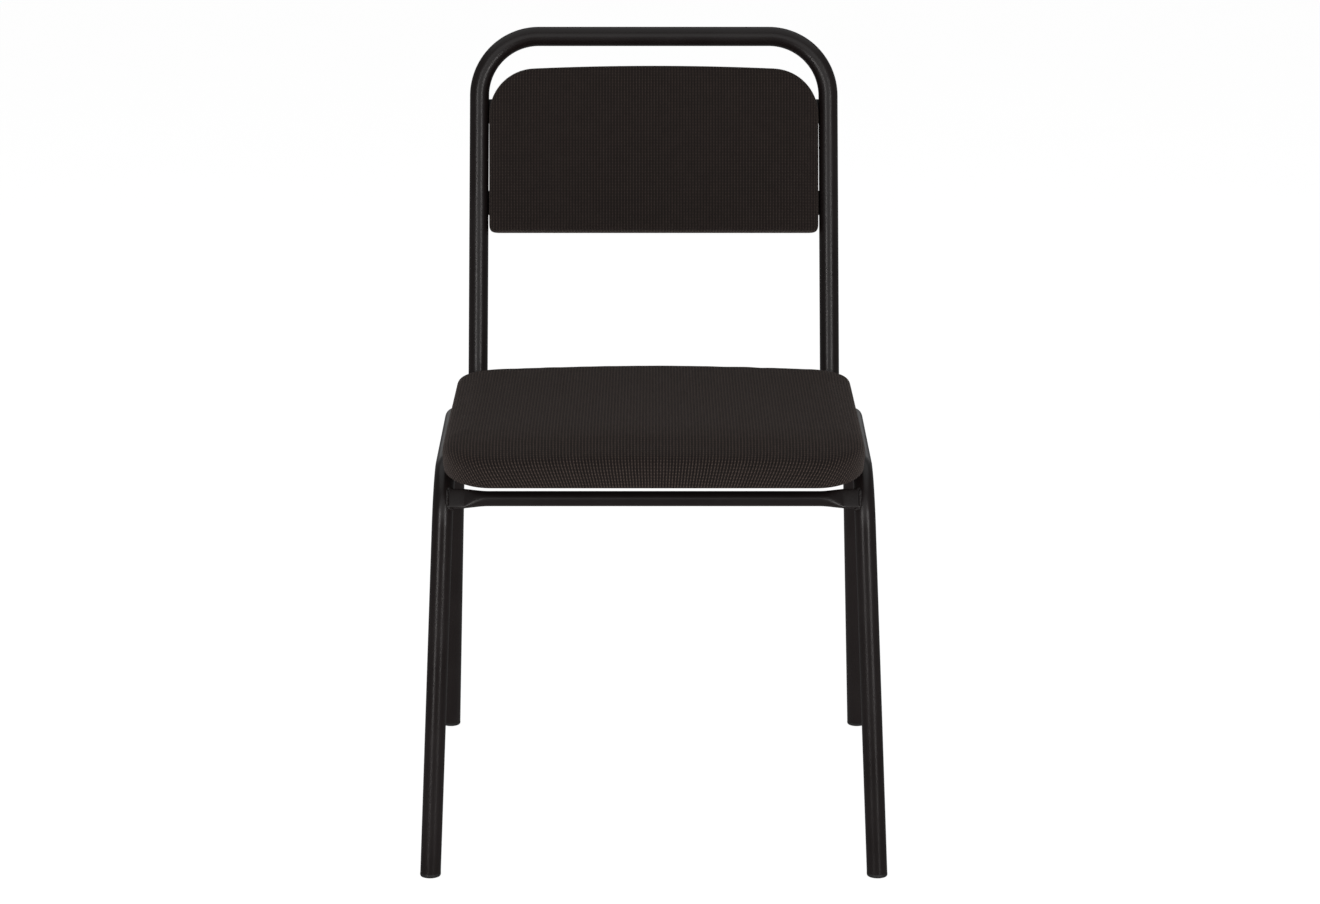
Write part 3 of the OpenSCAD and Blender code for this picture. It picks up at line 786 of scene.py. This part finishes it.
def makeTab(end, side, place, plate, outer, along):
    # local plane: x across the chair, second axis along the tube, height away from the pad
    shell, x = Shell(), fixings[place + "X"]
    outline = tabOutline(fixings["tabInner"], outer, fixings["tabWidth"] / 2, fixings["tabCorner"])
    hole = unit(outline - [x, 0]) * fixings["holeRadius"] + [x, 0]
    shell.addLoop(plate(platedRing(outline, hole, 0, fixings["tabThick"]), along) * sides[side])
    makePiece(f"{end}_{side}_{place}_lug", shell, framePaint, [f"{end}_{side}_{place}_tab"])


def seatPlate(rings, along):
    # heights count down from the seat's underside
    x, y, height = np.moveaxis(rings, -1, 0)
    return seatSpace(np.stack([x, along + y, fixings["seatFace"] - height], -1))


def backPlate(rings, along):
    # heights count to the rear from the back pad's rear face
    x, y, height = np.moveaxis(rings, -1, 0)
    return backSpace(np.stack([x, fixings["backFace"] + height, along + y], -1))


def screwRings(base, count=48):
    # a button head with a six-sided socket, washer side at the base, then the shank
    turn = fullTurn(count)
    hexagon = fixings["socketHalf"] / np.cos((turn + math.pi / 6) % (math.pi / 3) - math.pi / 6)
    high, shank = fixings["headHeight"], fixings["shankRadius"]
    floor, tip = high - fixings["socketDepth"], -fixings["screwLength"]
    rows = [(hexagon * 0.98, floor), (hexagon, floor + 0.1), (hexagon * 1.02, high - 0.15),
            (hexagon * 1.06 + 0.15, high)]
    dome = [(fixings["headRadius"] * radius, high * level) for radius, level in fixings["dome"]]
    tail = [(shank, 0.0), (shank, tip + 1.5), (shank * 0.75, tip + 0.4)]
    rows += [(np.full(count, radius), level) for radius, level in dome + tail]
    rings = [np.stack([r * np.cos(turn), r * np.sin(turn), np.full(count, base + z)], -1) for r, z in rows]
    return np.stack(rings), np.array([[0, 0, base + floor], [0, 0, base + tip]])


def makeFixings(place, plate, spots):
    washers, screws, x = Shell(), Shell(), fixings[place + "X"]
    turn = fullTurn(48)
    circle = np.stack([np.cos(turn), np.sin(turn)], -1)
    low, high = fixings["tabThick"], fixings["tabThick"] + fixings["washerThick"]
    outline, hole = circle * fixings["washerRadius"], circle * (fixings["shankRadius"] + 0.2)
    washer = platedRing(outline, hole, low, high, 0.3)
    rings, poles = screwRings(high)
    for mirrored in sides.values():
        for spot in spots:
            washers.addLoop(plate(washer + [x, 0, 0], spot) * mirrored)
            screws.addRings(*(plate(points + [x, 0, 0], spot) * mirrored for points in (rings, poles)))
    makePiece(place + "_ring_washers", washers, zincSteel, [place + "_washers"])
    makePiece(place + "_button_screws", screws, zincSteel, [place + "_screws"])


def makeTabs():
    # a seat tab goes out to the bearer, and a back tab nearly to the upright's axis
    for side in sides:
        for end, spot in zip(("front", "rear"), fixings["seatY"]):
            outer = bearerPoint(chair["kneeFront"] + spot)[0] - fixings["bearerOffset"]
            makeTab(end, side, "seat", seatPlate, outer, spot)
        for end, spot in zip(("upper", "lower"), fixings["backZ"]):
            share = -spot / (uprightTop[2] - uprightLow[2])
            axis = chair["hoopHalf"] + (uprightLow[0] - chair["hoopHalf"]) * share
            makeTab(end, side, "back", backPlate, axis - 1.0, spot)


makeTabs()
makeFixings("seat", seatPlate, fixings["seatY"])
makeFixings("back", backPlate, fixings["backZ"])
print("lugs, washers and screws made")


# pads

def outlineSide(length, firstRadius, lastRadius, count):
    # one side from the middle of a corner's arc to the middle of the next, evenly spaced along it
    first, last = firstRadius * math.pi / 4, lastRadius * math.pi / 4
    straight = length - firstRadius - lastRadius
    s = np.linspace(0, first + straight + last, count + 1)
    early = np.clip((first - s) / firstRadius, 0, None)
    late = np.clip((s - first - straight) / lastRadius, 0, None)
    along = np.where(early > 0, firstRadius * (1 - np.sin(early)),
                     np.where(late > 0, length - lastRadius * (1 - np.sin(late)), firstRadius + s - first))
    out = firstRadius * (np.cos(early) - 1) + lastRadius * (np.cos(late) - 1)
    return along, out


def outlineRing(pad, inset):
    # the four sides of the pad's outline drawn in by an inset, as one closed ring
    half, low, high = pad["half"] - inset, pad["low"] + inset, pad["high"] - inset
    lowRadius, highRadius = max(pad["lowRadius"] - inset, 0.8), max(pad["highRadius"] - inset, 0.8)
    across, up = pad["counts"]
    t, out = outlineSide(2 * half, lowRadius, lowRadius, across)
    parts = [np.stack([t - half, low - out], -1)]
    t, out = outlineSide(high - low, lowRadius, highRadius, up)
    parts.append(np.stack([half + out, low + t], -1))
    t, out = outlineSide(2 * half, highRadius, highRadius, across)
    bow = pad["bow"] * np.clip(1 - ((half - t) / (half - highRadius)) ** 2, 0, None)
    parts.append(np.stack([half - t, high + out + bow], -1))
    t, out = outlineSide(high - low, highRadius, lowRadius, up)
    parts.append(np.stack([-half - out, high - t], -1))
    return np.concatenate([part[:-1] for part in parts])


def ringSides(pad, ring):
    # a closed ring's low, right, high and left side, where opposite sides run the same way
    across, up = pad["counts"]
    second, third = across + up, 2 * across + up
    closed = np.concatenate([ring, ring[:1]])
    return closed[:across + 1], closed[across:second + 1], closed[second:third + 1][::-1], closed[third:][::-1]


def patchInside(pad, ring):
    # Coons patch: opposite sides blended both ways, less the blend of the four corners
    low, right, high, left = ringSides(pad, ring)
    u, v = np.linspace(0, 1, len(low))[None, :, None], np.linspace(0, 1, len(left))[:, None, None]
    corners = (1 - u) * (1 - v) * low[0] + u * (1 - v) * low[-1] + (1 - u) * v * high[0] + u * v * high[-1]
    patch = (1 - v) * low[None] + v * high[None] + (1 - u) * left[:, None] + u * right[:, None] - corners
    return patch[1:-1, 1:-1].reshape(-1, 2)


def patchQuads(pad, ringStart, insideStart):
    # the patch's grid of point numbers: its border is the ring, its inside is numbered row by row
    across, up = pad["counts"]
    index = np.zeros((up + 1, across + 1), int)
    ring = ringStart + np.arange(2 * (across + up))
    index[0], index[:, -1], index[-1], index[:, 0] = ringSides(pad, ring)
    index[1:-1, 1:-1] = insideStart + np.arange((up - 1) * (across - 1)).reshape(up - 1, across - 1)
    return np.stack([index[:-1, :-1], index[:-1, 1:], index[1:, 1:], index[1:, :-1]], -1).reshape(-1, 4)


def padSkin(pad, profile, heightOf, patches=(True, True)):
    # rings of the outline, one for each (inset, height) of the profile, and patches over the first and last;
    # layers tell each point's place in the profile
    rings = np.stack([outlineRing(pad, inset) for inset, _ in profile])
    rows, columns = rings.shape[:2]
    flat, layers = [rings.reshape(-1, 2)], [np.repeat(np.arange(rows), columns)]
    faces = [gridQuads(rows, columns, closedColumns=True)]
    count = rows * columns
    for wanted, row in zip(patches, (0, rows - 1)):
        if wanted:
            inside = patchInside(pad, rings[row])
            quads = patchQuads(pad, row * columns, count)
            faces.append(quads[:, ::-1] if row == 0 else quads)
            flat.append(inside)
            layers.append(np.full(len(inside), row))
            count += len(inside)
    layers = np.concatenate(layers)
    x, y = np.concatenate(flat).T
    points = np.stack([x, y, heightOf(x, y, np.array(profile)[layers, 1])], -1)
    return points, np.concatenate(faces), rings, layers


def clothCoordinates(pad, points, rings):
    # the cloth lies flat on the top; past the last ring it runs on outwards by its length over the edge
    rows, columns = rings.shape[:2]
    grid = points[:rows * columns].reshape(rows, columns, 3)
    steps = np.linalg.norm(np.diff(grid, axis=0), axis=-1)
    beyond = np.concatenate([np.cumsum(steps[::-1], axis=0)[::-1], np.zeros((1, columns))])
    spread = rings[-1] + unit(outlineRing(pad, 0) - rings[-1]) * beyond[..., None]
    return np.concatenate([spread.reshape(-1, 2), points[rows * columns:, :2]])


clothSprings = {
    "quality": 6, "pin_stiffness": 20, "tension_stiffness": 18, "compression_stiffness": 18,
    "bending_stiffness": 30,
}
swellFrames = 20


def inflate(piece, held, pressure, cap):
    # cloth under pressure, held where the weight is one; no point moves further than the cap
    group = piece.vertex_groups.new(name="held")
    for level in (0.25, 0.5, 0.75, 1.0):
        chosen = np.nonzero(np.isclose(np.round(held * 4) / 4, level))[0]
        group.add(chosen.tolist(), level, "REPLACE")
    modifier = piece.modifiers.new("pressure", "CLOTH")
    settings = modifier.settings
    settings.use_pressure = True
    settings.uniform_pressure_force = pressure
    settings.vertex_group_mass = "held"
    for label, value in clothSprings.items():
        setattr(settings, label, value)
    settings.effector_weights.gravity = 0
    modifier.collision_settings.use_collision = False
    modifier.point_cache.frame_end = swellFrames
    rest = np.zeros(len(piece.data.vertices) * 3, np.float32)
    piece.data.vertices.foreach_get("co", rest)
    for number in range(1, swellFrames + 1):
        bpy.context.scene.frame_set(number)
    swollen = np.zeros_like(rest)
    shown = piece.evaluated_get(bpy.context.evaluated_depsgraph_get()).to_mesh()
    shown.vertices.foreach_get("co", swollen)
    piece.modifiers.remove(modifier)
    bpy.context.scene.frame_set(1)
    move = (swollen - rest).reshape(-1, 3)
    length = np.linalg.norm(move, axis=1)
    print("  cloth moved", round(float(length.max()) / millimetre, 1), "mm at most")
    move *= np.minimum(1, cap / np.maximum(length, 1e-9))[:, None]
    piece.data.vertices.foreach_set("co", (rest.reshape(-1, 3) + move).ravel())
    piece.data.update()


seat = {
    "half": 220, "low": -57, "high": 352, "bow": 8, "lowRadius": 50, "highRadius": 45,
    "counts": (74, 70),
    "drop": 12, "waterfall": 80,
    "crown": 2.8, "sideCrown": 4.6,
    # (inset, height) from the middle of the foam's underside round the board to the strip's edge
    "underside": [(40, 14.7), (10, 14.6), (2.2, 13.6), (1.0, 12.6), (0.95, 7.0), (0.95, 2.2), (1.3, 1.9),
                  (12, 1.9), (21.4, 1.9)],
    # and from there along the strip, up the side and over the edge to the top
    "cover": [(22.0, 1.5), (21.4, 1.03), (16, 1.0), (9, 1.0), (3.0, 1.0), (1.0, 1.02), (0.25, 1.25), (0.0, 2.0),
              (-0.5, 6.0), (-1.1, 11.0), (-1.4, 16.0), (-1.4, 20.0), (-1.1, 23.0), (-0.4, 25.6), (0.8, 27.9),
              (2.6, 29.6), (5.2, 30.8), (9.5, 31.4), (16.0, 31.7), (26.0, 31.7)],
    "crownFrom": 15,     # the layer above which the crown starts
    "heldHeight": 14.0, "freeHeight": 31.0,     # layers below and above which the cloth is held and free
    "pressure": 8.0, "cap": 0.002,
}


def seatFall(y):
    # the waterfall: a parabola that starts its fall one waterfall length behind the front edge
    return -seat["drop"] * np.clip(1 - (y - seat["low"]) / seat["waterfall"], 0, None) ** 2


def seatHeight(x, y, level):
    # height = layer + waterfall + a crown that fades out below the top
    share, across, deep = crownShares(seat, x, y, level, 2)
    return level + seatFall(y) + share * across * (seat["sideCrown"] + seat["crown"] * deep)


def crownShares(pad, x, y, level, power):
    # how much of a crown is there: by the layer, across the pad and along it, each from none to all
    start, top = pad["crownFrom"], pad["cover"][-1][1]
    middle, reach = (pad["low"] + pad["high"]) / 2, (pad["high"] - pad["low"]) / 2
    return (np.clip((level - start) / (top - start), 0, 1), np.clip(1 - (x / pad["half"]) ** power, 0, 1),
            np.clip(1 - ((y - middle) / reach) ** 4, 0, 1))


def makePad(place, pad, heightOf, space):
    profile = pad["underside"] + pad["cover"]
    points, faces, rings, layers = padSkin(pad, profile, heightOf)
    shell, finish = Shell(), (wovenCloth[place], "woven_fabric")
    shell.add(space(points), faces)
    piece = makePiece(place + "_pad", shell, finish, [place + "_cover", place + "_foam"], sharp=70,
                      clothMap=clothCoordinates(pad, points, rings))
    levels = np.array(profile)[layers, 1]
    held = np.clip((pad["freeHeight"] - levels) / (pad["freeHeight"] - pad["heldHeight"]), 0, 1)
    held[layers < len(pad["underside"])] = 1
    inflate(piece, held, pad["pressure"], pad["cap"])
    modifier = piece.modifiers.new("smooth", "SUBSURF")
    modifier.levels = modifier.render_levels = 1
    modifier.boundary_smooth = "PRESERVE_CORNERS"


back = {
    "half": 188.5, "low": -225, "high": -37, "bow": 3, "lowRadius": 5, "highRadius": 53,
    "counts": (64, 34),
    "crown": 1.5, "crownFrom": 8,
    # the layers count forwards from the hoop's plane
    "underside": [(40, 3.7), (10, 3.7), (2.2, 2.9), (1.0, 1.9), (0.95, -2.0), (0.95, -6.8), (1.3, -7.1),
                  (12, -7.1), (21.4, -7.1)],
    "cover": [(22.0, -7.5), (21.4, -7.97), (14, -8.0), (5.0, -8.0), (1.0, -7.98), (0.25, -7.7), (0.0, -7.0),
              (0.0, -3.0), (0.0, 1.0), (0.0, 5.0), (0.35, 8.5), (1.3, 11.2), (2.9, 12.9), (5.2, 13.7),
              (8.5, 14.0), (14.0, 14.1)],
    "heldHeight": 3.0, "freeHeight": 12.0,
    "pressure": 4.0, "cap": 0.002,
}


def backHeight(x, z, level):
    # height = layer + a low crown that fades out behind the front
    share, across, up = crownShares(back, x, z, level, 4)
    return level + share * back["crown"] * across * up


def backPoints(points):
    # outline (x, z) and layer height to the back's axes
    return backSpace(np.stack([points[..., 0], -points[..., 2], points[..., 1]], -1))


makePad("seat", seat, seatHeight, seatSpace)
makePad("back", back, backHeight, backPoints)
print("pads made")


# liner under the seat, and the panel behind the back
liner = {"inset": 22.7, "height": 1.5, "thick": 0.6, "wave": 0.08}


def linerHeight(x, y, level):
    # nearly flat, with a shallow wave of two crossing sines
    return level + seatFall(y) + liner["wave"] * np.sin(x / 17) * np.sin(y / 23)


def makeLinerSheet():
    profile = [(liner["inset"] + step, liner["height"]) for step in (0, 3, 9)]
    points, faces, rings, _ = padSkin(seat, profile, linerHeight, patches=(False, True))
    shell = Shell()
    shell.add(seatSpace(points), faces)
    piece = makePiece("seat_liner", shell, (linerCloth, "liner"), ["seat_dust_cover"])
    solid = piece.modifiers.new("thickness", "SOLIDIFY")
    solid.thickness, solid.offset = liner["thick"] * millimetre, 0


panel = {
    "profile": [(14, -8.75), (11.2, -8.75), (11.0, -8.1), (10.6, -8.02), (9.5, -8.02), (9.1, -8.2), (9.0, -8.7),
                (9.15, -9.25), (9.7, -9.7), (10.6, -9.88), (12, -9.9), (20, -9.9)],
}


def makeRearPanel():
    points, faces, _, _ = padSkin(back, panel["profile"], lambda x, z, level: level)
    shell = Shell()
    shell.add(backPoints(points), faces)
    makePiece("back_panel", shell, (panelPlastic, "panel_plastic"), ["back_rear_panel"])


makeLinerSheet()
makeRearPanel()

# staples
staple = {
    "half": 4.7, "leg": 5.5, "crown": -0.25, "radius": 0.45, "bend": 0.8,
    "seatInset": 13, "backInset": 15,
}


def stapleRings():
    # a thin wire: leg, crown, leg
    half, leg, crown = staple["half"], staple["leg"], staple["crown"]
    corners = [(-half, 0, leg), (-half, 0, crown), (half, 0, crown), (half, 0, leg)]
    places, ways = bentPath(corners, [staple["bend"]] * 2, 30)
    return tubeRings(places, ways, staple["radius"], 8), places[[0, -1]]


def makeStaples(place, spots, space):
    # each spot is (x, y, turn): the crown lies across the cloth's edge there
    shell = Shell()
    rings, poles = stapleRings()
    for x, y, turned in spots:
        def put(points):
            p = np.asarray(points, float)
            if turned:
                p = np.stack([-p[..., 1], p[..., 0], p[..., 2]], -1)
            return space(p + [x, y, 0])
        shell.addRings(put(rings), put(poles))
    makePiece(place + "_wire_staples", shell, zincSteel, [place + "_staples"])


seatSide = seat["half"] - staple["seatInset"]
seatSpots = [(side * seatSide, 40 + i * 50, True) for side in (-1, 1) for i in range(6)]
seatSpots += [(i * 48, seat["high"] - staple["seatInset"], False) for i in range(-3, 4)]
backSide = back["half"] - staple["backInset"]
backSpots = [(side * backSide, -115 - i * 40, True) for side in (-1, 1) for i in range(3)]
backSpots += [(i * 42, back["low"] + staple["backInset"], False) for i in range(-3, 4)]
# the cover's strip lies 1 mm above the seat's zero, and 8 mm behind the hoop's plane
makeStaples("seat", seatSpots, lambda p: seatSpace(p + [0, 0, 1.0]))
makeStaples("back", backSpots, lambda p: backPoints(p - [0, 0, 8.0]))
print("liner, panel and staples made")

# nodes that keep their own mesh
for part, material in (("board", birchPly), ("tee_nuts", zincPlate)):
    for place in ("seat", "back"):
        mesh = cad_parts[f"{place}_{part}"].data
        mesh.materials.clear()
        mesh.materials.append(material)

# camera, lights and floor
view = {"place": (0, -4.2216, 1.4843), "pitch": 14.37, "lens": 107.36, "shiftX": 0.0047}
lens = bpy.data.cameras.new("camera")
lens.lens, lens.sensor_width, lens.shift_x = view["lens"], 36, view["shiftX"]
lens.clip_end = 100
camera = addObject("camera", lens)
camera.location = view["place"]
camera.rotation_euler = (math.radians(90 - view["pitch"]), 0, 0)
bpy.context.scene.camera = camera

studio = {
    # place, size, watts, and colour where it isn't white
    "frontLeft": ((-1.8, -3.1, 0.9), (0.45, 2.3), 22, (1, 0.97, 0.96)),
    "frontRight": ((1.8, -3.1, 0.9), (0.45, 2.3), 22, (1, 0.97, 0.96)),
    "frontTop": ((0, -4.4, 2.9), (5.6, 3.8), 34),
    "overhead": ((0, 0.5, 3.4), (5.6, 4.6), 28),
    "behindLeft": ((-1.15, 2.9, 0.75), (0.7, 0.6), 0.6),
    "behindRight": ((1.15, 2.9, 0.75), (0.7, 0.6), 0.6),
}
aim = (0, 0, 0.45)     # what every light points at


def addLight(name, place, size, watts, color=(1, 1, 1)):
    light = bpy.data.lights.new(name, "AREA")
    light.shape, light.size, light.size_y = "RECTANGLE", *size
    light.energy, light.color = watts, color
    lamp = addObject(name, light)
    lamp.location = place
    lamp.visible_camera = False
    lamp.rotation_euler = (Vector(aim) - Vector(place)).to_track_quat("-Z", "Y").to_euler()


for name, values in studio.items():
    addLight(name, *values)


ground = {"reach": 30, "glow": 0.95, "colors": ((0.24, 0.24, 0.24, 1), (0.26, 0.26, 0.26, 1))}


def makeFloor():
    # a wide level square, pale and matt
    mesh = bpy.data.meshes.new("floor")
    corners = [(x * ground["reach"], y * ground["reach"], 0) for x, y in ((-1, -1), (1, -1), (1, 1), (-1, 1))]
    mesh.from_pydata(corners, [], [(0, 1, 2, 3)])
    material, tree, shader, where = newMaterial(
        "paleFloor", Roughness=0.9, Specular_IOR_Level=0.1, Emission_Color=(1, 1, 1, 1),
        Emission_Strength=ground["glow"])
    tone = remap(tree, noise(tree, where.outputs["Object"], 3.0, 3.0), 0.3, 0.7)
    fill(tree, shader.inputs["Base Color"], blendColor(tree, tone, *ground["colors"]))
    mesh.materials.append(material)
    floor = addObject("floor", mesh)
    floor.visible_glossy = False


makeFloor()
world = bpy.data.worlds.new("studio")
world.use_nodes = True
sky = world.node_tree
background = sky.nodes["Background"]
background.inputs["Color"].default_value = (1, 1, 1, 1)
path = sky.nodes.new("ShaderNodeLightPath")
fill(sky, background.inputs["Strength"], remap(sky, path.outputs["Is Camera Ray"], 0, 1, 0.12, 1.0))
bpy.context.scene.world = world
bpy.context.scene.view_settings.view_transform = "Standard"
print("camera, lights and floor made")
